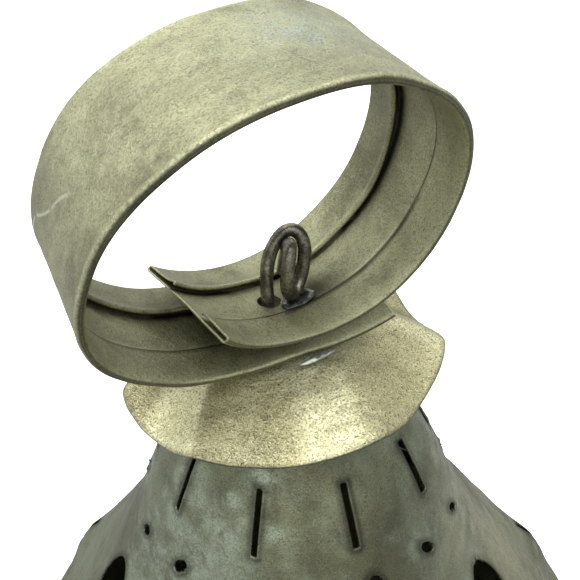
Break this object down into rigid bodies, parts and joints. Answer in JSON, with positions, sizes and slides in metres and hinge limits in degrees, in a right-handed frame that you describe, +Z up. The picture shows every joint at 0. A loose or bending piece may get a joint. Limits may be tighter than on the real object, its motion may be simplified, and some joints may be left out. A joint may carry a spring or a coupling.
{
  "type": "moroccan metal lantern",
  "caption": "Pierced brass lantern: round body with a hinged door, flared cone roof, fluted cap, and a broad hemmed ring handle with a wire eye soldered inside.",
  "frame": {"origin": "centre of the base's underside, where the lantern stands", "axes": "+Z up along the lantern's axis, -Y towards the door, +X to the hinge side"},
  "size_m": [0.2218, 0.2218, 0.4264],
  "materials": {
    "body_brass": "aged grey-green brass sheet with verdigris",
    "cap_brass": "worn golden-brown brass, pitted",
    "band_brass": "aged olive brass sheet, scratched",
    "dark_wire": "dark drawn wire, dull",
    "solder": "dull tin solder"
  },
  "bodies": {
    "lantern": {"base_pan": "body_brass", "drip_pan": "body_brass", "candle_cup": "body_brass", "body_shell": "body_brass", "body_seam": "body_brass", "hinge_body_upper": "cap_brass", "hinge_pin_upper": "dark_wire", "hinge_body_lower": "cap_brass", "hinge_pin_lower": "dark_wire", "button_rivet": "cap_brass", "eave_plate": "body_brass", "eave_wire": "body_brass", "roof_cone": "body_brass", "cap_collar": "body_brass", "fluted_cap": "cap_brass", "ring_handle": "band_brass", "wire_eye": "dark_wire", "solder_eye": "solder", "solder_front": "solder"},
    "door": {"door_leaf": "body_brass", "door_knob": "cap_brass", "hinge_door_upper": "cap_brass", "hinge_door_lower": "cap_brass"},
    "button": {"turn_button": "cap_brass"}
  },
  "joints": [
    {"name": "door_swing", "type": "hinge", "parent": "lantern", "child": "door", "pos_m": [0.05833, -0.08392, 0.102], "axis": [0, 0, 1], "range_deg": [0, 110]},
    {"name": "button_turn", "type": "hinge", "parent": "lantern", "child": "button", "pos_m": [-0.06474, -0.07882, 0.102], "axis": [-0.6347, -0.7727, 0], "range_deg": [0, 90]}
  ]
}
